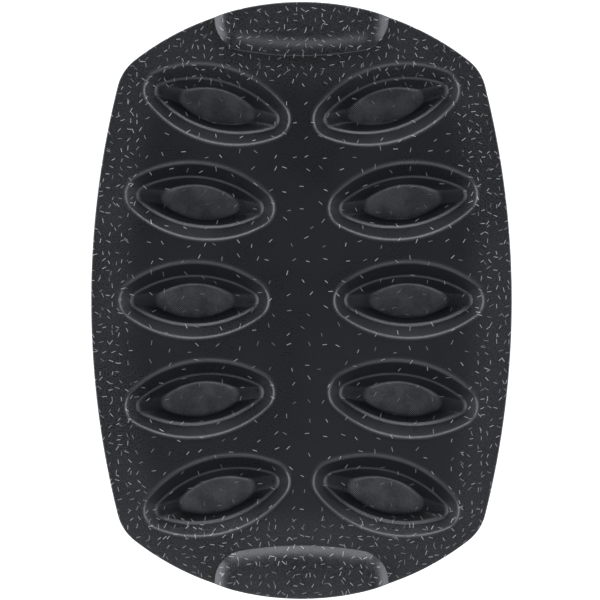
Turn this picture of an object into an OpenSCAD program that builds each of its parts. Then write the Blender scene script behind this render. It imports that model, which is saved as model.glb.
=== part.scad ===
// Flexible baking mould with ten boat-shaped cups for small baguettes.
// The frame's origin is the centre of the footprint, on the surface that the cups stand on.
// +X runs across the tray, +Y along it towards the rear grip, and +Z is up.

/* [Tray] */
// Length of the tray from one end to the other
tray_len = 297; // [293:1:303]
// Width of the tray at its middle
tray_w = 210; // [206:1:216]
// Radius of the bowed long sides
side_bow_r = 438; // [420:2:460]
// Radius of the bowed ends
end_bow_r = 135.5; // [130:0.5:140]
// Radius of the four corners
corner_r = 24; // [20:1:28]
// Thickness of the finished sheet
sheet_t = 2; // [1.8:0.1:2.4]

/* [Border] */
// Width of the solid border along the long sides
border_w = 18; // [16:1:20]
// Half-length of the reinforced field that the border surrounds
field_half_len = 109; // [106:1:112]
// Radius of the bowed ends of the field
field_end_bow_r = 1200; // [900:100:2000]
// Corner radius of the field
field_corner_r = 12; // [8:1:16]

/* [Layers] */
// Thickness of the silicone face over the net
face_t = 0.4; // [0.3:0.05:0.5]
// Thickness of the woven glass net
net_t = 0.3; // [0.2:0.05:0.4]

/* [Cups] */
// Length of a cup at its rim
cup_len = 79.6; // [76:0.2:80]
// Width of a cup at its rim
cup_w = 42.6; // [38:0.2:43]
// Radius of a cup's pointed ends at its rim
cup_tip_r = 11.9; // [10:0.1:13]
// Depth of a cup below the face of the tray
cup_depth = 14; // [12:0.5:18]
// Radius of the rounded rim
rim_r = 4.5; // [3:0.5:5]
// Slope of the upper wall in degrees
wall_slope = 52; // [48:1:58]
// Length of the ledge ring inside a cup
ledge_len = 62.7; // [61:0.1:64.5]
// Width of the ledge ring inside a cup
ledge_w = 24.5; // [23.5:0.1:25.5]
// Radius of the ledge ring's ends
ledge_tip_r = 4.7; // [4:0.1:5.5]
// Depth of the ledge ring below the face of the tray
ledge_depth = 8; // [7:0.1:8.5]
// Length of a cup's floor
floor_len = 36; // [32:1:40]
// Width of a cup's floor
floor_w = 17; // [14:0.5:18]
// Radius of the floor's ends
floor_tip_r = 4.8; // [4:0.1:5.6]

/* [Cup places] */
// Distance of an end-row cup from the long axis
end_row_x = 42.3; // [42:0.1:43]
// Distance of an end-row cup from the middle row
end_row_y = 97.7; // [97:0.1:99]
// Turn of an end-row cup in degrees
end_row_turn = 15; // [14:0.5:16]
// Distance of a second-row cup from the long axis
second_row_x = 50.8; // [50:0.1:52]
// Distance of a second-row cup from the middle row
second_row_y = 49.4; // [49:0.1:50]
// Turn of a second-row cup in degrees
second_row_turn = 7; // [6:0.5:8]
// Distance of a middle-row cup from the long axis
middle_row_x = 53.6; // [52:0.1:54]

/* [Grips] */
// Height of a grip above the face of the tray
grip_rise = 5.5; // [4:0.5:8]
// Width of a grip between its straight sides
grip_w = 87.6; // [84:0.4:92]
// Distance that a grip reaches in from the end of the tray
grip_reach = 26.8; // [26:0.1:29]
// Width of the slope round a grip
grip_slope_w = 11; // [9:0.5:12]
// Radius of the bowed inner side of a grip
grip_bow_r = 180; // [160:10:240]
// Radius of a grip's inner corners
grip_corner_r = 16; // [14:0.5:18]

/* [Hidden] */
rows = [1:5];
face_z = cup_depth + sheet_t;
core_t = face_t + net_t;
layer_lap = 0.02;
outline_steps = 5;
side_steps = 8;
tip_steps = 4;
grip_corner_steps = 6;
grip_bow_steps = 8;
grip_slope_steps = 5;
ledge_half_w = 0.8;
ledge_fall = 1;
ledge_slope = 32;
floor_slope = 45;
floor_round = 1.2;
floor_round_start = 0.8;
grip_slope_power = 1.8;
tray_half_len = tray_len / 2;
tray_half_w = tray_w / 2;
ring_size = 2 * (side_steps + tip_steps);

// Rows run from the rear to the front
row_x = [end_row_x, second_row_x, middle_row_x, second_row_x, end_row_x];
row_y = [end_row_y, second_row_y, 0, -second_row_y, -end_row_y];
row_turn = [end_row_turn, second_row_turn, 0, -second_row_turn, -end_row_turn];

left_cups = [for (row = rows) str("cup_left_", row)];
right_cups = [for (row = rows) str("cup_right_", row)];

border_colour = [0.17, 0.17, 0.18];
field_colour = [0.13, 0.13, 0.14];
net_colour = [0.80, 0.78, 0.70];

// ---- outlines ----

// Points on an arc, both ends included
function arc(centre, r, from, to, steps) =
    [for (i = [0:steps])
        let (a = from + (to - from) * i / steps)
        centre + r * [cos(a), sin(a)]];

// The same points without the first and the last
function inner_points(points) = [for (i = [1:len(points) - 2]) points[i]];

// Centre of the corner arc that touches a side bow and an end bow from inside
function corner_centre(side_c, side_r, end_c, end_r, r) =
    let (gap = norm(end_c - side_c))
    let (along = ((side_r - r) ^ 2 - (end_r - r) ^ 2 + gap ^ 2) / (2 * gap))
    let (across = sqrt((side_r - r) ^ 2 - along ^ 2))
    let (dir = (end_c - side_c) / gap)
    side_c + along * dir + across * [-dir.y, dir.x];

// A quarter of a bowed outline, from the middle of its right side to the middle of its rear end
function bowed_quarter(half_w, side_r, half_len, end_r, r) =
    let (side_c = [half_w - side_r, 0])
    let (end_c = [0, half_len - end_r])
    let (c = corner_centre(side_c, side_r, end_c, end_r, r))
    let (low = atan2(c.y - side_c.y, c.x - side_c.x))
    let (high = atan2(c.y - end_c.y, c.x - end_c.x))
    concat(
        arc(side_c, side_r, 0, low, outline_steps),
        inner_points(arc(c, r, low, high, outline_steps)),
        arc(end_c, end_r, high, 90, outline_steps));

// The whole bowed outline, mirrored from its quarter
function bowed_outline(half_w, side_r, half_len, end_r, r) =
    let (quarter = bowed_quarter(half_w, side_r, half_len, end_r, r))
    let (last = len(quarter) - 1)
    concat(
        quarter,
        [for (i = [last - 1:-1:1]) [-quarter[i].x, quarter[i].y]],
        [for (p = quarter) -p],
        [for (i = [last - 1:-1:1]) [quarter[i].x, -quarter[i].y]]);

tray_outline = bowed_outline(tray_half_w, side_bow_r, tray_half_len, end_bow_r, corner_r);
field_outline = bowed_outline(tray_half_w - border_w, side_bow_r - border_w,
    field_half_len, field_end_bow_r, field_corner_r);

// ---- cups ----

// A lens of two arcs with rounded tips, counter-clockwise from its right shoulder
function lens(half_len, half_w, tip_r) =
    let (a = half_len - tip_r)
    let (b = half_w - tip_r)
    let (bow_r = (a ^ 2 + b ^ 2) / (2 * b))
    let (sweep = asin(a / bow_r))
    concat(
        arc([0, b - bow_r], bow_r + tip_r, 90 - sweep, 90 + sweep, side_steps),
        inner_points(arc([-a, 0], tip_r, 90 + sweep, 270 - sweep, tip_steps)),
        arc([0, bow_r - b], bow_r + tip_r, 270 - sweep, 270 + sweep, side_steps),
        inner_points(arc([a, 0], tip_r, 270 + sweep, 450 - sweep, tip_steps)));

// The levels of a cup from its rim to its floor: [half-length, half-width, tip radius, depth, slope]
rim_in = rim_r * sin(wall_slope);
half_rim_in = rim_r * sin(wall_slope / 2);
function level(len, w, tip_r, in, depth, slope) = [len / 2 - in, w / 2 - in, tip_r - in, depth, slope];
ledge_edge = level(ledge_len, ledge_w, ledge_tip_r, ledge_half_w, ledge_depth + ledge_fall / 2, ledge_slope);
floor_edge = level(floor_len, floor_w, floor_tip_r, 0, cup_depth, floor_slope);
levels = [
    level(cup_len, cup_w, cup_tip_r, 0, 0, 0),
    level(cup_len, cup_w, cup_tip_r, half_rim_in, rim_r * (1 - cos(wall_slope / 2)), wall_slope / 2),
    level(cup_len, cup_w, cup_tip_r, rim_in, rim_r * (1 - cos(wall_slope)), wall_slope),
    level(ledge_len, ledge_w, ledge_tip_r, -ledge_half_w, ledge_depth - ledge_fall / 2, ledge_slope),
    ledge_edge,
    ledge_edge + (floor_edge - ledge_edge) * floor_round_start,
    level(floor_len, floor_w, floor_tip_r, floor_round, cup_depth, 0)];

// Place of a cup: side is -1 for the left column and 1 for the right, and row 1 is at the rear
function cup_x(side, row) = side * row_x[row - 1];
function cup_y(row) = row_y[row - 1];
function cup_turn(side, row) = side * row_turn[row - 1];

// Flat points turned and moved to a cup's place
function placed(points, side, row) =
    let (c = cos(cup_turn(side, row)))
    let (s = sin(cup_turn(side, row)))
    [for (p = points) [cup_x(side, row) + c * p.x - s * p.y, cup_y(row) + s * p.x + c * p.y]];

// One level of a cup at a given distance inside the sheet, square to its wall
function cup_ring(l, inside, side, row) =
    let (out = inside * sin(l[4]))
    let (z = face_z - l[3] - inside * cos(l[4]))
    [for (p = placed(lens(l[0] + out, l[1] + out, l[2] + out), side, row)) [p.x, p.y, z]];

function cup_points(inside, side, row) = [for (l = levels) each cup_ring(l, inside, side, row)];

// Triangles of one surface made of stacked rings, seen from above when up is true
function ring_faces(start, up) =
    [for (k = [0:len(levels) - 2], i = [0:ring_size - 1])
        let (next = (i + 1) % ring_size)
        let (a = start + k * ring_size + i)
        let (b = start + k * ring_size + next)
        let (c = start + (k + 1) * ring_size + next)
        let (d = start + (k + 1) * ring_size + i)
        each up ? [[a, d, c], [a, c, b]] : [[a, b, c], [a, c, d]]];

function floor_face(start, up) =
    let (first = start + (len(levels) - 1) * ring_size)
    up ? [for (i = [ring_size - 1:-1:0]) first + i] : [for (i = [0:ring_size - 1]) first + i];

function rim_faces(lower_start) =
    [for (i = [0:ring_size - 1])
        let (next = (i + 1) % ring_size)
        each [[i, next, lower_start + next], [i, lower_start + next, lower_start + i]]];

// One layer of a cup, between two depths inside the sheet
module cup_layer(upper, lower, side, row) {
    lower_start = len(levels) * ring_size;
    polyhedron(
        points = concat(cup_points(upper, side, row), cup_points(lower, side, row)),
        faces = concat(
            ring_faces(0, true),
            [floor_face(0, true)],
            ring_faces(lower_start, false),
            [floor_face(lower_start, false)],
            rim_faces(lower_start)),
        convexity = 6);
}

// The ten rims, smaller all round by lap
module cup_mouths(lap = 0) {
    for (side = [-1, 1], row = rows)
        polygon(placed(lens(cup_len / 2 - lap, cup_w / 2 - lap, cup_tip_r - lap), side, row));
}

// A flat layer of the field between two depths inside the sheet
module field_layer(upper, lower, lap = 0) {
    translate([0, 0, face_z - lower])
        linear_extrude(lower - upper)
            difference() {
                polygon(field_outline);
                cup_mouths(lap);
            }
}

// A layer that runs on from the field into every cup without a joint
module whole_layer(upper, lower) {
    field_layer(upper, lower, layer_lap);
    for (side = [-1, 1], row = rows) cup_layer(upper, lower, side, row);
}

// ---- grips ----

// Height of the tray's end bow above the cross axis at a distance from the long axis
function end_y(x) = tray_half_len - end_bow_r + sqrt(end_bow_r ^ 2 - x ^ 2);

// The line round a grip at a distance in from its foot, from the tray's edge round to the edge again
grip_bow_c = [0, tray_half_len - grip_reach + grip_bow_r];
grip_corner_x = grip_w / 2 - grip_corner_r;
grip_corner_y = grip_bow_c.y - sqrt((grip_bow_r - grip_corner_r) ^ 2 - grip_corner_x ^ 2);
grip_corner_end = -90 + asin(grip_corner_x / (grip_bow_r - grip_corner_r));
function grip_half_line(inset) =
    concat(
        [[grip_w / 2 - inset, end_y(grip_w / 2 - inset)]],
        arc([grip_corner_x, grip_corner_y], grip_corner_r - inset, 0, grip_corner_end, grip_corner_steps),
        inner_points(arc(grip_bow_c, grip_bow_r - inset, grip_corner_end, -90, grip_bow_steps)));
function grip_line(inset) =
    let (half = grip_half_line(inset))
    concat(
        half,
        [[0, grip_bow_c.y - grip_bow_r + inset]],
        [for (i = [len(half) - 1:-1:0]) [-half[i].x, half[i].y]]);

grip_line_size = len(grip_line(0));
grip_edge = [for (i = [1:grip_bow_steps - 1])
    let (x = (grip_w / 2 - grip_slope_w) * (2 * i / grip_bow_steps - 1))
    [x, end_y(x)]];

// Height of the slope at a fraction of its width: steep at the foot and level at its head
function grip_height(part) = grip_rise * (1 - (1 - part) ^ grip_slope_power);
function grip_surface(drop) =
    concat(
        [for (k = [0:grip_slope_steps], p = grip_line(grip_slope_w * k / grip_slope_steps))
            [p.x, p.y, face_z - drop + grip_height(k / grip_slope_steps)]],
        [for (p = grip_edge) [p.x, p.y, face_z - drop + grip_rise]]);

function grip_slope_faces(start, up) =
    [for (k = [0:grip_slope_steps - 1], i = [0:grip_line_size - 2])
        let (a = start + k * grip_line_size + i)
        let (d = a + grip_line_size)
        each up ? [[a, a + 1, d + 1], [a, d + 1, d]] : [[a, d + 1, a + 1], [a, d, d + 1]]];

// The flat top runs from the head of the slope to the tray's edge
function grip_top_face(start, up) =
    let (first = start + grip_slope_steps * grip_line_size)
    let (count = grip_line_size + len(grip_edge))
    up ? [for (i = [0:count - 1]) first + i] : [for (i = [count - 1:-1:0]) first + i];

// Walls between the upper and the lower surface, along the foot and along the tray's edge
function strip_faces(path, lower_start) =
    [for (i = [0:len(path) - 2])
        each [[path[i], path[i + 1] + lower_start, path[i + 1]],
            [path[i], path[i] + lower_start, path[i + 1] + lower_start]]];

// Point numbers round the rim of a grip: the foot, one sloping end, the tray's edge and the other end
foot_path = [for (i = [0:grip_line_size - 1]) i];
rise_path = [for (k = [1:grip_slope_steps]) (k + 1) * grip_line_size - 1];
edge_path = [for (i = [0:len(grip_edge) - 1]) (grip_slope_steps + 1) * grip_line_size + i];
fall_path = [for (k = [grip_slope_steps:-1:0]) k * grip_line_size];
grip_rim_path = concat(foot_path, rise_path, edge_path, fall_path);

// A grip at the rear end; the front one is its mirror image
module grip_shell() {
    upper = grip_surface(0);
    lower_start = len(upper);
    polyhedron(
        points = concat(upper, grip_surface(sheet_t)),
        faces = concat(
            grip_slope_faces(0, true),
            [grip_top_face(0, true)],
            grip_slope_faces(lower_start, false),
            [grip_top_face(lower_start, false)],
            strip_faces(grip_rim_path, lower_start)),
        convexity = 6);
}

module grip_footprint() {
    polygon(concat(grip_line(0), [[-grip_w / 2, tray_half_len + 1], [grip_w / 2, tray_half_len + 1]]));
}

// ---- sub-parts ----

// Solid silicone border, moulded round the edge of the reinforced field and round the cup rims
module border() {
    color(border_colour)
        translate([0, 0, face_z - sheet_t])
            linear_extrude(sheet_t)
                difference() {
                    polygon(tray_outline);
                    polygon(field_outline);
                    cup_mouths();
                    grip_footprint();
                    mirror([0, 1]) grip_footprint();
                }
}

module grip_rear() {
    color(border_colour) grip_shell();
}

module grip_front() {
    color(border_colour) mirror([0, 1, 0]) grip_shell();
}

// Silicone under the net, between the cups
module field_web() {
    color(field_colour) field_layer(core_t, sheet_t);
}

// Silicone under the net, in one cup
module cup(side, row) {
    color(field_colour) cup_layer(core_t, sheet_t, side, row);
}

// Woven glass net, over the field and down into every cup
module glass_net() {
    color(net_colour) whole_layer(face_t, core_t);
}

// Silicone face over the net
module face_layer() {
    color(field_colour) whole_layer(0, face_t);
}

border();
grip_front();
grip_rear();
field_web();
for (row = rows) {
    cup(-1, row);
    cup(1, row);
}
glass_net();
face_layer();
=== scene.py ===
"""Looks of the silicone baguette tray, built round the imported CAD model.

Lengths are in millimetres until a mesh, a light or the camera is made, and then in metres, as the frame is.
"""

import math

import bpy
import numpy as np
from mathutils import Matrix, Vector
from mathutils.geometry import delaunay_2d_cdt


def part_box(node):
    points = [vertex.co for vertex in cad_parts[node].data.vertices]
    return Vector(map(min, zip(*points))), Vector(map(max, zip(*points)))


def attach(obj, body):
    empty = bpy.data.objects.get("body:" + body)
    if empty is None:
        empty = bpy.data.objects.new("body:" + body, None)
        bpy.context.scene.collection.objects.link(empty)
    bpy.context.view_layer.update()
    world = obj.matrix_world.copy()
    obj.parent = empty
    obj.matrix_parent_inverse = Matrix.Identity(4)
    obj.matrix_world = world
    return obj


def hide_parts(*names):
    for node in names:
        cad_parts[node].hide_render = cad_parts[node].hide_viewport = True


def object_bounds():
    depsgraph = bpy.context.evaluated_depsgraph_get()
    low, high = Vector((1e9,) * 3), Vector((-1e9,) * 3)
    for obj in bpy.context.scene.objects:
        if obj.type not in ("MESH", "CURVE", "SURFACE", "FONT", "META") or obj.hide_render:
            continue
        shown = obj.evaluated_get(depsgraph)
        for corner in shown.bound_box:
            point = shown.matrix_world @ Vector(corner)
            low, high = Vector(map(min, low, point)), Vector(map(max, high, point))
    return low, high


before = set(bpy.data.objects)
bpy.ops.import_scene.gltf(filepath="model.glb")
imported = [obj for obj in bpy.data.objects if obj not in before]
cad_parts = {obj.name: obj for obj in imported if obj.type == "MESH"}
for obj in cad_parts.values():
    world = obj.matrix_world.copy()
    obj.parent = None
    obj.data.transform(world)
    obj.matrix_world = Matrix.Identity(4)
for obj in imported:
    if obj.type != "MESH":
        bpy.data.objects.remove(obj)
cad_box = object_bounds()

MM = 0.001
FULL_TURN = 2 * math.pi

# ---- driving dimensions, as the CAD model has them ----

tray_high = cad_box[1] / MM
TRAY_HALF_W = tray_high.x
TRAY_HALF_LEN = tray_high.y
FACE_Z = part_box("border")[1].z / MM
SHEET_T = FACE_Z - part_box("border")[0].z / MM
GRIP_RISE = tray_high.z - FACE_Z
SIDE_BOW_R = 438
END_BOW_R = 135.5
CORNER_R = 24
EDGE_R = 0.9

BORDER_W = 18
FIELD_HALF_LEN = 109
FIELD_END_BOW_R = 1200
FIELD_CORNER_R = 12

FACE_T = 0.4
NET_T = 0.3
CORE_T = FACE_T + NET_T

GRIP_HALF_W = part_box("grip_rear")[1].x / MM
GRIP_REACH = TRAY_HALF_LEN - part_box("grip_rear")[0].y / MM
GRIP_SLOPE_W = 11
GRIP_BOW_R = 180
GRIP_CORNER_R = 16
GRIP_SLOPE_POWER = 1.8
GRIP_FOOT_W = 0.8

ROWS = range(1, 6)
ROW_TURNS = {1: 15, 2: 7, 3: 0, 4: -7, 5: -15}
SIDES = {"left": -1, "right": 1}
CUP_HALF_LEN = (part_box("cup_left_3")[1].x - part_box("cup_left_3")[0].x) / 2 / MM
CUP_HALF_W = (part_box("cup_left_3")[1].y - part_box("cup_left_3")[0].y) / 2 / MM
CUP_TIP_R = 11.9
CUP_DEPTH = FACE_Z - SHEET_T

# Corners of a cup's section from its rim to its floor: half-length, half-width, tip radius, depth, and how
# far its rounding reaches to each side along the section
CUP_SECTION = (
    (CUP_HALF_LEN, CUP_HALF_W, CUP_TIP_R, 0.0, 0.0),
    (CUP_HALF_LEN - 2.2, CUP_HALF_W - 2.2, CUP_TIP_R - 2.2, 0.0, 2.15),
    (32.15, 13.05, 5.5, 7.5, 0.6),
    (30.55, 11.45, 3.9, 8.5, 0.6),
    (18.0, 8.5, 4.8, 13.95, 1.2),
    (1.5, 0.7, 0.4, CUP_DEPTH, 0.0),
)
SIDE_STEPS = 36
TIP_STEPS = 14
# Lines of points up a grip's slope, by their distance in from its foot
GRIP_INSETS = (0.2, 0.4, 0.6, 0.8, 1.2, 1.8, 2.4, 3.0, 3.6, 4.2,
               4.8, 5.4, 6.0, 6.7, 7.4, 8.2, 9.0, 10.0, 11.0)
EDGE_STEPS = 6
GRID_PITCH = 7
GRID_CLEARANCE = 2.5


# ---- outlines ----

def arc(centre, r, start, end, steps):
    """Points on an arc with both ends, from one angle in degrees to another."""
    angles = [math.radians(start + (end - start) * i / steps) for i in range(steps + 1)]
    return [(centre[0] + r * math.cos(a), centre[1] + r * math.sin(a)) for a in angles]


def corner_centre(side_c, side_r, end_c, end_r, r):
    """Centre of the corner arc that touches a side bow and an end bow from inside."""
    gap = math.dist(side_c, end_c)
    along = ((side_r - r) ** 2 - (end_r - r) ** 2 + gap ** 2) / (2 * gap)
    across = math.sqrt((side_r - r) ** 2 - along ** 2)
    dx, dy = (end_c[0] - side_c[0]) / gap, (end_c[1] - side_c[1]) / gap
    return side_c[0] + along * dx - across * dy, side_c[1] + along * dy + across * dx


def bowed_outline(half_w, side_r, half_len, end_r, r, steps=(28, 10, 40)):
    """A bowed outline with round corners, counter-clockwise from the middle of its right side."""
    side_c, end_c = (half_w - side_r, 0), (0, half_len - end_r)
    c = corner_centre(side_c, side_r, end_c, end_r, r)
    low = math.degrees(math.atan2(c[1], c[0] - side_c[0]))
    high = math.degrees(math.atan2(c[1] - end_c[1], c[0]))
    quarter = arc(side_c, side_r, 0, low, steps[0])
    quarter += arc(c, r, low, high, steps[1])[1:-1]
    quarter += arc(end_c, end_r, high, 90, steps[2])
    back = quarter[-2:0:-1]
    return (quarter + [(-x, y) for x, y in back]
            + [(-x, -y) for x, y in quarter] + [(x, -y) for x, y in back])


def tray_outline(inset):
    return bowed_outline(TRAY_HALF_W - inset, SIDE_BOW_R - inset, TRAY_HALF_LEN - inset, END_BOW_R - inset,
                         CORNER_R - inset)


def field_outline():
    return bowed_outline(TRAY_HALF_W - BORDER_W, SIDE_BOW_R - BORDER_W, FIELD_HALF_LEN, FIELD_END_BOW_R,
                         FIELD_CORNER_R)


def lens(half_len, half_w, tip_r):
    """A lens of two arcs with rounded tips, counter-clockwise from its right shoulder."""
    a, b = half_len - tip_r, half_w - tip_r
    bow_r = (a * a + b * b) / (2 * b)
    sweep = math.degrees(math.asin(a / bow_r))
    return (arc((0, b - bow_r), bow_r + tip_r, 90 - sweep, 90 + sweep, SIDE_STEPS)
            + arc((-a, 0), tip_r, 90 + sweep, 270 - sweep, TIP_STEPS)[1:-1]
            + arc((0, bow_r - b), bow_r + tip_r, 270 - sweep, 270 + sweep, SIDE_STEPS)
            + arc((a, 0), tip_r, 270 + sweep, 450 - sweep, TIP_STEPS)[1:-1])


RIM_LENS = np.array(lens(CUP_HALF_LEN, CUP_HALF_W, CUP_TIP_R))


# ---- grips ----

GRIP_BOW_C = (0, TRAY_HALF_LEN - GRIP_REACH + GRIP_BOW_R)
GRIP_CORNER_X = GRIP_HALF_W - GRIP_CORNER_R
GRIP_CORNER_Y = GRIP_BOW_C[1] - math.sqrt((GRIP_BOW_R - GRIP_CORNER_R) ** 2 - GRIP_CORNER_X ** 2)
GRIP_CORNER_END = -90 + math.degrees(math.asin(GRIP_CORNER_X / (GRIP_BOW_R - GRIP_CORNER_R)))
BEYOND = 6


def grip_line(inset):
    """The line round the rear grip at a distance in from its foot, run on beyond the tray's edge."""
    half_w = GRIP_HALF_W - inset
    half = [(half_w, TRAY_HALF_LEN + BEYOND)]
    half += arc((GRIP_CORNER_X, GRIP_CORNER_Y), GRIP_CORNER_R - inset, 0, GRIP_CORNER_END, 18)
    half += arc(GRIP_BOW_C, GRIP_BOW_R - inset, GRIP_CORNER_END, -90, 20)[1:]
    return half + [(-x, y) for x, y in half[-2::-1]]


def inside_grip(x, y):
    """How far a point lies in from a grip's foot, negative outside it."""
    x, y = abs(x), abs(y)
    if y >= GRIP_CORNER_Y:
        return GRIP_HALF_W - x
    turn = math.degrees(math.atan2(y - GRIP_CORNER_Y, x - GRIP_CORNER_X))
    if x > GRIP_CORNER_X and turn > GRIP_CORNER_END:
        return GRIP_CORNER_R - math.dist((x, y), (GRIP_CORNER_X, GRIP_CORNER_Y))
    return GRIP_BOW_R - math.dist((x, y), GRIP_BOW_C)


def top_z(x, y):
    """Height of the tray's upper face, level but for the two grips, whose slopes start in a small round."""
    inset = max(inside_grip(x, y), 0)
    eased = inset * inset / (2 * GRIP_FOOT_W) if inset < GRIP_FOOT_W else inset - GRIP_FOOT_W / 2
    part = min(eased / (GRIP_SLOPE_W - GRIP_FOOT_W / 2), 1)
    return FACE_Z + GRIP_RISE * (1 - (1 - part) ** GRIP_SLOPE_POWER)


# ---- cups ----

def cup_place(side, row):
    """Centre and turn of a cup. The middle of its CAD box is its centre."""
    low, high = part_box(f"cup_{side}_{row}")
    middle = (low + high) / 2 / MM
    return middle.x, middle.y, math.radians(SIDES[side] * ROW_TURNS[row])


def to_tray(points, place):
    x, y, turn = place
    c, s = math.cos(turn), math.sin(turn)
    return [(x + c * px - s * py, y + s * px + c * py) for px, py in points]


def to_cup(point, place):
    x, y, turn = place
    c, s = math.cos(turn), math.sin(turn)
    dx, dy = point[0] - x, point[1] - y
    return c * dx + s * dy, -s * dx + c * dy


def section_levels(round_steps, pitch):
    """The cup's section as a smooth run of levels, each with its slope at the cup's side in radians."""
    def run_to(end):
        steps = max(1, round(np.linalg.norm((end - levels[-1])[[1, 3]]) / pitch))
        start = levels[-1]
        levels.extend(start + (end - start) * t / steps for t in range(1, steps + 1))

    corners = np.array(CUP_SECTION)
    levels = [corners[0, :4]]
    for i in range(1, len(corners) - 1):
        before, here, after = corners[i - 1:i + 2, :4]
        reach = corners[i, 4]
        start = here + (before - here) * reach / np.linalg.norm((before - here)[[1, 3]])
        end = here + (after - here) * reach / np.linalg.norm((after - here)[[1, 3]])
        run_to(start)
        for t in np.linspace(0, 1, round_steps + 1)[1:]:
            levels.append((1 - t) ** 2 * start + 2 * t * (1 - t) * here + t ** 2 * end)
    run_to(corners[-1, :4])
    table = np.array(levels)
    slopes = np.arctan2(np.gradient(table[:, 3]), -np.gradient(table[:, 1]))
    slopes[0] = slopes[-1] = 0
    return [(*level, slope) for level, slope in zip(table, slopes)]


FINE_SECTION = section_levels(round_steps=7, pitch=2.0)
PLAIN_SECTION = section_levels(round_steps=3, pitch=4.0)


class Cup:
    """A cup's rim as the plan's triangles have it, and the rings that run down from it."""

    def __init__(self, name, place, rim, points):
        self.name, self.place, self.rim = name, place, rim
        self.steps = [self.find_step(points[index]) for index in rim]

    def find_step(self, point):
        """Where on the lens a rim point lies, as a step and a fraction of it."""
        offset = np.array(to_cup(point, self.place)) - RIM_LENS
        ahead = np.roll(RIM_LENS, -1, axis=0) - RIM_LENS
        part = np.clip((offset * ahead).sum(1) / (ahead ** 2).sum(1), 0, 1)
        step = int(np.linalg.norm(offset - ahead * part[:, None], axis=1).argmin())
        return step, float(part[step])

    def ring(self, level, inside):
        """The ring of points at one level of the section, at a depth inside the sheet."""
        half_len, half_w, tip_r, depth, slope = level
        out = inside * math.sin(slope)
        outline = lens(half_len + out, half_w + out, tip_r + out)
        flat = []
        for step, part in self.steps:
            a, b = outline[step], outline[(step + 1) % len(outline)]
            flat.append((a[0] + (b[0] - a[0]) * part, a[1] + (b[1] - a[1]) * part))
        z = FACE_Z - depth - inside * math.cos(slope)
        return [(x, y, z) for x, y in to_tray(flat, self.place)]


# ---- the plan: triangles that every piece is cut from, so that neighbours share their edges ----

def even_points(half_w, half_len, pitch):
    row_pitch = pitch * math.sqrt(3) / 2
    rows, columns = int(half_len / row_pitch), int(half_w / pitch)
    return [((i + j % 2 / 2) * pitch, j * row_pitch)
            for j in range(-rows, rows + 1) for i in range(-columns, columns + 1)]


def half_turned(points):
    return [(-x, -y) for x, y in points]


def open_edges(triangles):
    """Directed edges that only one triangle has. The triangle is on their left."""
    directed = {(t[i], t[(i + 1) % 3]) for t in triangles for i in range(3)}
    return [(a, b) for a, b in sorted(directed) if (b, a) not in directed]


def loop_round(triangles):
    """The points round a region that has one outline, in order."""
    ahead = dict(open_edges(triangles))
    start = min(ahead)
    loop, here = [start], ahead[start]
    while here != start:
        loop.append(here)
        here = ahead[here]
    return loop


class Plan:
    """Triangles of the whole tray seen from above, sorted into its regions."""

    def __init__(self):
        self.points, self.edges, self.faces = [], [], []
        places = {f"cup_{side}_{row}": cup_place(side, row) for side in SIDES for row in ROWS}
        rear, front = grip_line(0)[::-1], half_turned(grip_line(0)[::-1])
        outlines = {"border": tray_outline(EDGE_R), "field": field_outline(),
                    "grip_rear": rear, "grip_front": front}
        for name, place in places.items():
            outlines[name] = to_tray(RIM_LENS, place)
        for outline in outlines.values():
            self.faces.append(self.add_points(outline))
        for inset in GRIP_INSETS:
            line = grip_line(inset)
            for points in (line, half_turned(line)):
                chain = self.add_points(points)
                self.edges += zip(chain, chain[1:])
        self.add_grid()
        self.triangulate(list(outlines))
        self.rim_normals = self.find_rim_normals()
        self.cups = [Cup(name, place, loop_round(self.triangles[name]), self.points)
                     for name, place in places.items()]

    def add_points(self, points):
        first = len(self.points)
        self.points += [tuple(p) for p in points]
        return list(range(first, len(self.points)))

    def add_grid(self):
        """Points that keep the flat regions' triangles even, clear of every outline."""
        fixed = np.array(self.points)
        self.add_points(p for p in even_points(TRAY_HALF_W, TRAY_HALF_LEN, GRID_PITCH)
                        if np.linalg.norm(fixed - p, axis=1).min() > GRID_CLEARANCE)

    def triangulate(self, names):
        """Give each triangle to the last region that it lies in, and leave it out beyond the tray."""
        made = delaunay_2d_cdt([Vector(p) for p in self.points], self.edges, self.faces, 0, 1e-5)
        self.points = [tuple(p) for p in made[0]]
        self.triangles = {name: [] for name in names}
        for triangle, sources in zip(made[2], made[5]):
            if 0 in sources:
                self.triangles[names[max(sources)]].append(tuple(triangle))

    def find_rim_normals(self):
        """Outward directions at the points on the tray's edge."""
        loop = loop_round([t for triangles in self.triangles.values() for t in triangles])
        normals = {}
        for before, here, after in zip(loop[-1:] + loop[:-1], loop, loop[1:] + loop[:1]):
            ahead = Vector(self.points[after]) - Vector(self.points[before])
            normals[here] = Vector((ahead.y, -ahead.x)).normalized()
        return normals


# ---- meshes ----

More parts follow.
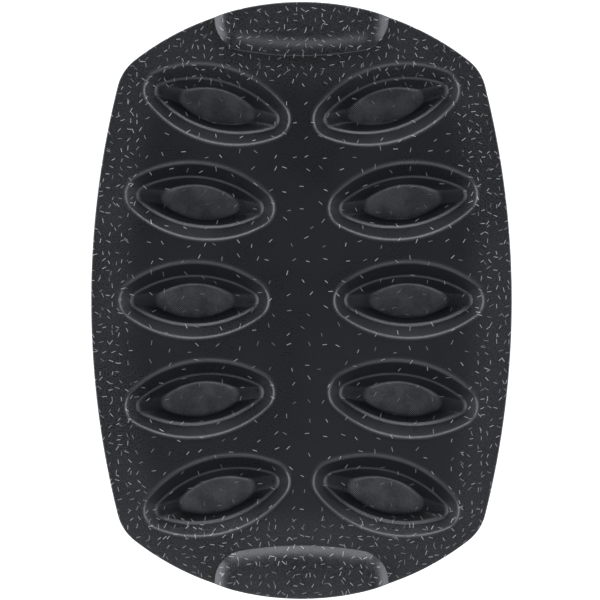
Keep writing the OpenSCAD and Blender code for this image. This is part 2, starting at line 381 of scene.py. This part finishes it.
class Mesh:
    """Points and faces of one piece. A hard face meets the others at a crisp corner."""

    def __init__(self):
        self.points, self.faces, self.hard_faces = [], [], []

    def add_points(self, points):
        first = len(self.points)
        self.points += points
        return list(range(first, len(self.points)))

    def add_wall(self, a, b, hard=False):
        """Quads between two columns of points that run downwards. The outside is on the right of a to b."""
        target = self.hard_faces if hard else self.faces
        target += [(a[j + 1], b[j + 1], b[j], a[j]) for j in range(len(a) - 1)]

    def add_well(self, rings, up):
        """A cup's surface from its rim ring down to its floor, seen from above when up is true."""
        for upper, lower in zip(rings, rings[1:]):
            for i in range(len(upper)):
                j = (i + 1) % len(upper)
                face = (upper[i], upper[j], lower[j], lower[i])
                self.faces.append(face if up else face[::-1])
        self.faces.append(tuple(rings[-1] if up else rings[-1][::-1]))

    def edge_keys(self, faces):
        """One number for each edge of some faces."""
        count = len(self.points)
        return {min(a, b) * count + max(a, b) for face in faces for a, b in zip(face, face[1:] + face[:1])}

    def make(self, name, node, material):
        mesh = bpy.data.meshes.new(name)
        in_metres = [(x * MM, y * MM, z * MM) for x, y, z in self.points]
        mesh.from_pydata(in_metres, [], self.faces + self.hard_faces)
        mesh.shade_smooth()
        ends = np.empty(2 * len(mesh.edges), np.int32)
        mesh.edges.foreach_get("vertices", ends)
        ends = np.sort(ends.reshape(-1, 2), axis=1).astype(np.int64)
        crisp = self.edge_keys(self.faces) & self.edge_keys(self.hard_faces)
        is_crisp = np.isin(ends[:, 0] * len(self.points) + ends[:, 1], list(crisp))
        mesh.attributes.new("sharp_edge", "BOOLEAN", "EDGE").data.foreach_set("value", is_crisp)
        mesh.materials.append(material)
        piece = bpy.data.objects.new(name, mesh)
        bpy.context.scene.collection.objects.link(piece)
        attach(piece, "root")
        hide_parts(node)


def edge_column(point, normal, z_top, z_bottom):
    """Points down the tray's rounded edge between its upper and its lower face."""
    turns = [math.pi / 2 * i / EDGE_STEPS for i in range(EDGE_STEPS + 1)]
    levels = [(math.sin(a), z_top - EDGE_R * (1 - math.cos(a))) for a in turns]
    levels += [(math.sin(a), z_bottom + EDGE_R * (1 - math.cos(a))) for a in reversed(turns)]
    return [(point[0] + normal.x * EDGE_R * out, point[1] + normal.y * EDGE_R * out, z)
            for out, z in levels[1:-1]]


def add_sheet(mesh, plan, flat, cups, upper, lower):
    """Both faces of a sheet over some of the plan's triangles, and its walls.

    Cups that the sheet runs on into are open in it, and their rims get no wall. Returns the numbers of the
    upper and of the lower points.
    """
    used = sorted({i for t in flat for i in t} | {i for cup in cups for i in cup.rim})
    tops = dict(zip(used, mesh.add_points([(*plan.points[i], upper(*plan.points[i])) for i in used])))
    bottoms = dict(zip(used, mesh.add_points([(*plan.points[i], lower(*plan.points[i])) for i in used])))
    for a, b, c in flat:
        mesh.faces += [(tops[a], tops[b], tops[c]), (bottoms[c], bottoms[b], bottoms[a])]
    whole = flat + [t for cup in cups for t in plan.triangles[cup.name]]
    edges = open_edges(whole)
    rim_edges = {(a, b) for a, b in edges if is_rim_edge(plan, a, b)}
    columns = {}
    for i in {i for edge in rim_edges for i in edge}:
        z_top, z_bottom = mesh.points[tops[i]][2], mesh.points[bottoms[i]][2]
        between = mesh.add_points(edge_column(plan.points[i], plan.rim_normals[i], z_top, z_bottom))
        columns[i] = (tops[i], *between, bottoms[i])
    for a, b in edges:
        if (a, b) in rim_edges:
            mesh.add_wall(columns[a], columns[b])
        else:
            mesh.add_wall((tops[a], bottoms[a]), (tops[b], bottoms[b]), hard=True)
    starts, ends = {a for a, _ in rim_edges}, {b for _, b in rim_edges}
    mesh.hard_faces += [columns[i][::-1] for i in sorted(starts - ends)]
    mesh.hard_faces += [columns[i] for i in sorted(ends - starts)]
    return tops, bottoms


def is_rim_edge(plan, a, b):
    return a in plan.rim_normals and b in plan.rim_normals


def well_rings(mesh, cup, section, inside, rim):
    return [rim] + [mesh.add_points(cup.ring(level, inside)) for level in section[1:]]


def make_slab(plan, region, name, material):
    """A region of the border, full thickness."""
    mesh = Mesh()
    add_sheet(mesh, plan, plan.triangles[region], [], top_z, lambda x, y: top_z(x, y) - SHEET_T)
    mesh.make(name, region, material)


def make_layer(plan, name, node, material, upper, lower, sections):
    """One layer of the field with its ten cups, between two depths inside the sheet."""
    mesh = Mesh()
    tops, bottoms = add_sheet(mesh, plan, plan.triangles["field"], plan.cups,
                              lambda x, y: FACE_Z - upper, lambda x, y: FACE_Z - lower)
    for cup in plan.cups:
        mesh.add_well(well_rings(mesh, cup, sections[0], upper, [tops[i] for i in cup.rim]), True)
        mesh.add_well(well_rings(mesh, cup, sections[1], lower, [bottoms[i] for i in cup.rim]), False)
    mesh.make(name, node, material)


def make_field_under(plan, material):
    mesh = Mesh()
    add_sheet(mesh, plan, plan.triangles["field"], [],
              lambda x, y: FACE_Z - CORE_T, lambda x, y: FACE_Z - SHEET_T)
    mesh.make("field_under", "field_web", material)


def make_shell(plan, cup, material):
    """The silicone under the net in one cup."""
    mesh = Mesh()
    rim = [plan.points[i] for i in cup.rim]
    upper = mesh.add_points([(x, y, FACE_Z - CORE_T) for x, y in rim])
    lower = mesh.add_points([(x, y, FACE_Z - SHEET_T) for x, y in rim])
    mesh.add_well(well_rings(mesh, cup, PLAIN_SECTION, CORE_T, upper), True)
    mesh.add_well(well_rings(mesh, cup, FINE_SECTION, SHEET_T, lower), False)
    for i in range(len(rim)):
        j = (i + 1) % len(rim)
        mesh.add_wall((upper[i], lower[i]), (upper[j], lower[j]), hard=True)
    mesh.make(f"{cup.name}_shell", cup.name, material)


# ---- materials ----

class Nodes:
    """Shorthand for building one material's nodes. Values may be numbers, colours or sockets."""

    def __init__(self, name):
        self.material = bpy.data.materials.new(name)
        self.material.use_nodes = True
        self.tree = self.material.node_tree
        self.shader = next(n for n in self.tree.nodes if n.type == "BSDF_PRINCIPLED")

    def add(self, kind, values=None, **settings):
        made = self.tree.nodes.new(kind)
        for key, value in settings.items():
            setattr(made, key, value)
        for key, value in (values or {}).items():
            self.put(made.inputs[key], value)
        return made

    def put(self, socket, value):
        if isinstance(value, bpy.types.NodeSocket):
            self.tree.links.new(value, socket)
        else:
            socket.default_value = value

    def math(self, operation, *values):
        made = self.add("ShaderNodeMath", dict(enumerate(values)), operation=operation)
        return made.outputs[0]

    def vector(self, operation, *values):
        made = self.add("ShaderNodeVectorMath", dict(enumerate(values)), operation=operation)
        return made.outputs["Value" if operation == "DISTANCE" else "Vector"]

    def noise(self, place, size, detail=2.0, roughness=0.5):
        """Noise from about 0.25 to 0.75 whose largest blotches are of a size in millimetres."""
        values = {"Vector": place, "Scale": 1 / size, "Detail": detail, "Roughness": roughness}
        return self.add("ShaderNodeTexNoise", values).outputs["Fac"]

    def ramp(self, value, low, high, to_low=0.0, to_high=1.0):
        """Eases from to_low at low to to_high at high."""
        values = {"Value": value, "From Min": low, "From Max": high, "To Min": to_low, "To Max": to_high}
        return self.add("ShaderNodeMapRange", values, interpolation_type="SMOOTHSTEP").outputs["Result"]

    def band(self, value, middle, reach):
        """1 at the middle, easing to 0 at the reach on both sides."""
        return self.ramp(self.math("ABSOLUTE", self.math("SUBTRACT", value, middle)), 0.0, reach, 1.0, 0.0)

    def mix(self, part, a, b):
        made = self.add("ShaderNodeMix", data_type="RGBA")
        for index, value in ((0, part), (6, a), (7, b)):
            self.put(made.inputs[index], value)
        return made.outputs[2]

    def place(self):
        """Position on the object in millimetres."""
        here = self.add("ShaderNodeTexCoord").outputs["Object"]
        scaled = self.add("ShaderNodeVectorMath", {0: here, "Scale": 1 / MM}, operation="SCALE")
        return scaled.outputs["Vector"]

    def split(self, vector):
        return self.add("ShaderNodeSeparateXYZ", {0: vector}).outputs

    def bump(self, height, depth, below=None):
        """Bump of a depth in millimetres for a height from 0 to 1."""
        values = {"Height": height, "Distance": depth * MM, "Strength": 1.0}
        if below:
            values["Normal"] = below
        return self.add("ShaderNodeBump", values).outputs["Normal"]

    def sticks(self, place, spacing):
        """Short light fibres scattered one to a cell, from 0 between them to 1 on them.

        Each is turned its own way and lies more or less deep in the silicone.
        """
        scatter = {"Vector": place, "Scale": 1 / spacing, "Randomness": STICK_JITTER}
        cell = self.add("ShaderNodeTexVoronoi", scatter, voronoi_dimensions="2D")
        luck = self.split(cell.outputs["Color"])
        offset = self.vector("SUBTRACT", place, cell.outputs["Position"])
        angle = self.math("MULTIPLY", luck[0], FULL_TURN)
        spin = {"Vector": offset, "Angle": angle}
        turned = self.add("ShaderNodeVectorRotate", spin, rotation_type="Z_AXIS")
        along, across, _ = self.split(turned.outputs["Vector"])
        half = self.ramp(luck[1], 0.0, 1.0, STICK_LEN[0] / 2, STICK_LEN[1] / 2)
        past = self.math("SUBTRACT", self.math("ABSOLUTE", along), half)
        on_length = self.ramp(past, -STICK_SOFT, STICK_SOFT, 1.0, 0.0)
        past = self.math("SUBTRACT", self.math("ABSOLUTE", across), STICK_W / 2)
        on_width = self.ramp(past, -STICK_SOFT, STICK_SOFT, 1.0, 0.0)
        strength = self.ramp(luck[2], 0.0, 1.0, 0.4, 1.0)
        return self.math("MULTIPLY", self.math("MULTIPLY", on_length, on_width), strength)

    def weave(self, place):
        """The print of the woven net in the silicone over it, from 0 in its meshes to 1 on its threads."""
        x, y, _ = self.split(place)
        turn = FULL_TURN / PRINT_PITCH
        over = self.math("SINE", self.math("MULTIPLY", x, turn))
        under = self.math("SINE", self.math("MULTIPLY", y, turn))
        return self.ramp(self.math("MULTIPLY", over, under), -1.0, 1.0)

    def into_field(self, place):
        """How far a place lies inside the reinforced field's bowed outline, negative outside it."""
        quarter = self.vector("ABSOLUTE", place)
        flat = self.vector("MULTIPLY", quarter, (1, 1, 0))
        end_c = (0, FIELD_HALF_LEN - FIELD_END_BOW_R, 0)
        side_c = (TRAY_HALF_W - SIDE_BOW_R, 0, 0)
        end = self.math("SUBTRACT", FIELD_END_BOW_R, self.vector("DISTANCE", flat, end_c))
        side = self.math("SUBTRACT", SIDE_BOW_R - BORDER_W, self.vector("DISTANCE", flat, side_c))
        return self.math("MINIMUM", end, side)


# Light fibres
STICK_LEN = (1.764, 2.352)
STICK_W = 0.30
STICK_SOFT = 0.08
STICK_JITTER = 0.65
BORDER_SPACING = 4.6
FIELD_SPACING = 8.8

# Print of the net, and how far the border's colour and fibres run over into the field's
PRINT_PITCH = 1.1
PRINT_SHARE = 0.8
BLEND_REACH = 9.0
FIBRE_REACH = 0.4

# Painted highlight rings on the cups' rims and ledges, and painted sheen on their floors, which are also a
# little smoother
RIM_HIGHLIGHT_Z, RIM_HIGHLIGHT_REACH = FACE_Z - 0.75, 0.75
LEDGE_HIGHLIGHT_Z, LEDGE_HIGHLIGHT_REACH = FACE_Z - 8.0, 0.7
SHEEN_TOP_Z, SHEEN_FULL_Z = SHEET_T + 1.2, SHEET_T + 0.1
FLOOR_POLISH = 0.06

# Surface
CLOUD_SIZE = 32
GRAIN_SIZE = 0.8
PAINTED_BLOTCH_SIZE = 9
ROUGHNESS = (0.29, 0.35)
GRAIN_ROUGHNESS = (-0.04, 0.06)
GRAIN_DEPTH = 0.018
PRINT_DEPTH = 0.03
YARN_DEPTH = 0.12

STICK_COLOUR = (0.58, 0.58, 0.59, 1)
BORDER_DARK = (0.0195, 0.0200, 0.0212, 1)
BORDER_LIGHT = (0.0265, 0.0270, 0.0285, 1)
GRAIN_LIGHT = (0.090, 0.090, 0.093, 1)
FIELD_DARK = (0.0060, 0.0068, 0.0080, 1)
FIELD_LIGHT = (0.0095, 0.0103, 0.0118, 1)
PRINT_LIGHT = (0.026, 0.0275, 0.031, 1)
# Painted sheen on the cups' floors, standing in for the light they reflect
FLOOR_PAINTED_SHEEN = (0.232, 0.242, 0.260, 1)
# Painted highlight along the cups' rims and ledges
PAINTED_RING_HIGHLIGHT = (0.085, 0.086, 0.090, 1)
YARN_DARK = (0.30, 0.29, 0.25, 1)
YARN_LIGHT = (0.62, 0.60, 0.53, 1)
FIBRE_LIGHT = (0.75, 0.73, 0.66, 1)


def silicone(name, has_cups):
    """Black silicone.

    In the border it has plenty of light fibres and a fine grain. Over the net it has few fibres and a woven
    print, and in the cups also painted highlight rings on their rims and ledges and painted sheen on their
    floors, broken up by the net's print.
    """
    n = Nodes(name)
    place = n.place()
    into = n.into_field(place)
    outside = n.ramp(into, -FIBRE_REACH, FIBRE_REACH, 1.0, 0.0)
    clouds = n.ramp(n.noise(place, CLOUD_SIZE, 3), 0.3, 0.7)
    grain = n.noise(place, GRAIN_SIZE, 3, 0.7)
    weave = n.weave(place)
    plain = n.mix(clouds, BORDER_DARK, BORDER_LIGHT)
    plain = n.mix(n.ramp(grain, 0.4, 0.7, 0.0, 0.6), plain, GRAIN_LIGHT)
    printed = n.mix(clouds, FIELD_DARK, FIELD_LIGHT)
    printed = n.mix(n.ramp(grain, 0.4, 0.7, 0.0, 0.15), printed, GRAIN_LIGHT)
    printed = n.mix(n.math("MULTIPLY", weave, PRINT_SHARE), printed, PRINT_LIGHT)
    base = n.mix(n.ramp(into, -BLEND_REACH, BLEND_REACH), plain, printed)
    rough = n.math("ADD", n.ramp(clouds, 0.0, 1.0, *ROUGHNESS), n.ramp(grain, 0.3, 0.7, *GRAIN_ROUGHNESS))
    if has_cups:
        base, rough = in_cups(n, place, weave, base, rough)
    flecks = n.math("MAXIMUM", n.sticks(place, FIELD_SPACING),
                    n.math("MULTIPLY", n.sticks(place, BORDER_SPACING), outside))
    n.put(n.shader.inputs["Base Color"], n.mix(flecks, base, STICK_COLOUR))
    n.put(n.shader.inputs["Roughness"], rough)
    print_normal = n.bump(n.math("MULTIPLY", weave, n.math("SUBTRACT", 1.0, outside)), PRINT_DEPTH)
    bumps = n.math("ADD", grain, n.math("MULTIPLY", flecks, 0.3))
    n.put(n.shader.inputs["Normal"], n.bump(bumps, GRAIN_DEPTH, print_normal))
    return n.material


def in_cups(n, place, weave, base, rough):
    """The same colour and roughness with painted highlights on the cups' rims and ledges and painted sheen on
    their floors.
    """
    _, _, z = n.split(place)
    # Painted sheen: the floors are coloured much lighter, in patches and through the net's print, and are
    # made a little smoother
    floor = n.ramp(z, SHEEN_TOP_Z, SHEEN_FULL_Z)
    floor_sheen = n.math("MULTIPLY", floor, n.ramp(weave, 0.0, 1.0, 0.3, 1.0))
    floor_sheen = n.math("MULTIPLY", floor_sheen, n.ramp(n.noise(place, PAINTED_BLOTCH_SIZE, 3), 0.35, 0.65, 0.6, 1.05))
    base = n.mix(floor_sheen, base, FLOOR_PAINTED_SHEEN)
    # Painted highlight: lighter colour in bands at the depths of the rims' and ledges' rounding, varied by
    # noise
    rim, ledge = n.band(z, RIM_HIGHLIGHT_Z, RIM_HIGHLIGHT_REACH), n.band(z, LEDGE_HIGHLIGHT_Z, LEDGE_HIGHLIGHT_REACH)
    highlight_strength = n.ramp(n.noise(place, PAINTED_BLOTCH_SIZE, 2), 0.3, 0.7, 0.7, 1.0)
    painted_rings = n.math("MULTIPLY", n.math("MAXIMUM", rim, ledge), highlight_strength)
    return n.mix(painted_rings, base, PAINTED_RING_HIGHLIGHT), n.math("SUBTRACT", rough, n.math("MULTIPLY", floor, FLOOR_POLISH))


def net_material():
    """Plain-woven glass yarn, off-white, with darker gaps between the yarns."""
    n = Nodes("net_finish")
    place = n.place()
    weave = n.weave(place)
    fibres = n.noise(place, 0.15, 2)
    base = n.mix(weave, YARN_DARK, YARN_LIGHT)
    n.put(n.shader.inputs["Base Color"], n.mix(n.ramp(fibres, 0.3, 0.7, 0.0, 0.3), base, FIBRE_LIGHT))
    n.put(n.shader.inputs["Roughness"], n.ramp(fibres, 0.3, 0.7, 0.35, 0.6))
    n.put(n.shader.inputs["Normal"], n.bump(weave, YARN_DEPTH))
    return n.material


def floor_material():
    """A pale, evenly lit sweep."""
    n = Nodes("studio_floor")
    n.put(n.shader.inputs["Base Color"], (0.86, 0.86, 0.86, 1))
    n.put(n.shader.inputs["Roughness"], 0.9)
    n.put(n.shader.inputs["Emission Color"], (1, 1, 1, 1))
    n.put(n.shader.inputs["Emission Strength"], FLOOR_GLOW)
    return n.material


# ---- studio ----

FLOOR_HALF = 4000
FLOOR_GAP = 0.1
FLOOR_GLOW = 0.9
WORLD_GREY = 0.03
CAMERA_LENS = 200
CAMERA_SENSOR = 36
CAMERA_SEES = 20
VIEW_WIDTH = 299.2
VIEW_SHIFT = (-0.75, 0.2)

# Soft boxes, all facing the middle of the tray: the direction each stands in, in degrees round from the right
# and up from level, then its distance, width, height and brightness. The low strips draw the light rings
# round the cups. The level face mirrors them too when it is seen from as low as they stand.
TRAY_MIDDLE = Vector((0, 0, FACE_Z))
LIGHTS = {
    "rear_strip": (90, 17, 1700, 2600, 540, 6.0),
    "left_strip": (180, 12, 1700, 2200, 660, 5.2),
    "right_strip": (0, 12, 1700, 2200, 660, 4.6),
    "front_box": (270, 46, 1700, 1500, 720, 2.2),
    "high_box": (270, 72, 1700, 1500, 300, 0.8),
    "overhead": (270, 90, 1834, 1500, 900, 0.06),
}
LIGHT_COLOUR = (0.95, 0.98, 1.05)


def make_floor():
    mesh = bpy.data.meshes.new("studio_floor")
    half, z = FLOOR_HALF * MM, -FLOOR_GAP * MM
    corners = [(-half, -half, z), (half, -half, z), (half, half, z), (-half, half, z)]
    mesh.from_pydata(corners, [], [(0, 1, 2, 3)])
    mesh.materials.append(floor_material())
    floor = bpy.data.objects.new("studio_floor", mesh)
    bpy.context.scene.collection.objects.link(floor)


def direction(azimuth, elevation):
    """Unit vector towards an angle round from +X and an angle up from level, in degrees."""
    round_z, up = math.radians(azimuth), math.radians(elevation)
    return Vector((math.cos(up) * math.cos(round_z), math.cos(up) * math.sin(round_z), math.sin(up)))


def make_lights():
    for name, (azimuth, elevation, distance, width, height, brightness) in LIGHTS.items():
        light = bpy.data.lights.new(name, "AREA")
        light.shape = "RECTANGLE"
        light.size, light.size_y = width * MM, height * MM
        light.energy = brightness * math.pi * light.size * light.size_y
        light.color = LIGHT_COLOUR
        lamp = bpy.data.objects.new(name, light)
        towards = direction(azimuth, elevation)
        lamp.location = (TRAY_MIDDLE + towards * distance) * MM
        lamp.rotation_euler = (-towards).to_track_quat("-Z", "Y").to_euler()
        lamp.visible_camera = False
        bpy.context.scene.collection.objects.link(lamp)


def make_world():
    world = bpy.data.worlds.new("studio")
    world.use_nodes = True
    background = next(n for n in world.node_tree.nodes if n.type == "BACKGROUND")
    background.inputs["Color"].default_value = (1, 1, 1, 1)
    background.inputs["Strength"].default_value = WORLD_GREY
    bpy.context.scene.world = world


def make_camera():
    """Straight above the tray, with its rear at the top of the picture."""
    camera = bpy.data.objects.new("camera", bpy.data.cameras.new("camera"))
    camera.data.lens, camera.data.sensor_width = CAMERA_LENS, CAMERA_SENSOR
    distance = VIEW_WIDTH * CAMERA_LENS / CAMERA_SENSOR
    camera.location = Vector((*VIEW_SHIFT, FACE_Z + distance)) * MM
    camera.data.clip_end = CAMERA_SEES
    bpy.context.scene.collection.objects.link(camera)
    bpy.context.scene.camera = camera


def build():
    plan = Plan()
    border, field, under, net = (silicone("border_finish", False), silicone("field_finish", True),
                                 silicone("under_finish", False), net_material())
    make_slab(plan, "border", "border_moulding", border)
    make_slab(plan, "grip_rear", "grip_rear_moulding", border)
    make_slab(plan, "grip_front", "grip_front_moulding", border)
    make_field_under(plan, under)
    for cup in plan.cups:
        make_shell(plan, cup, under)
    make_layer(plan, "net_sheet", "glass_net", net, FACE_T, CORE_T,
               (PLAIN_SECTION, PLAIN_SECTION))
    make_layer(plan, "face_sheet", "face_layer", field, 0, FACE_T,
               (FINE_SECTION, PLAIN_SECTION))


build()
make_floor()
make_lights()
make_world()
make_camera()
bpy.context.scene.view_settings.view_transform = "Standard"
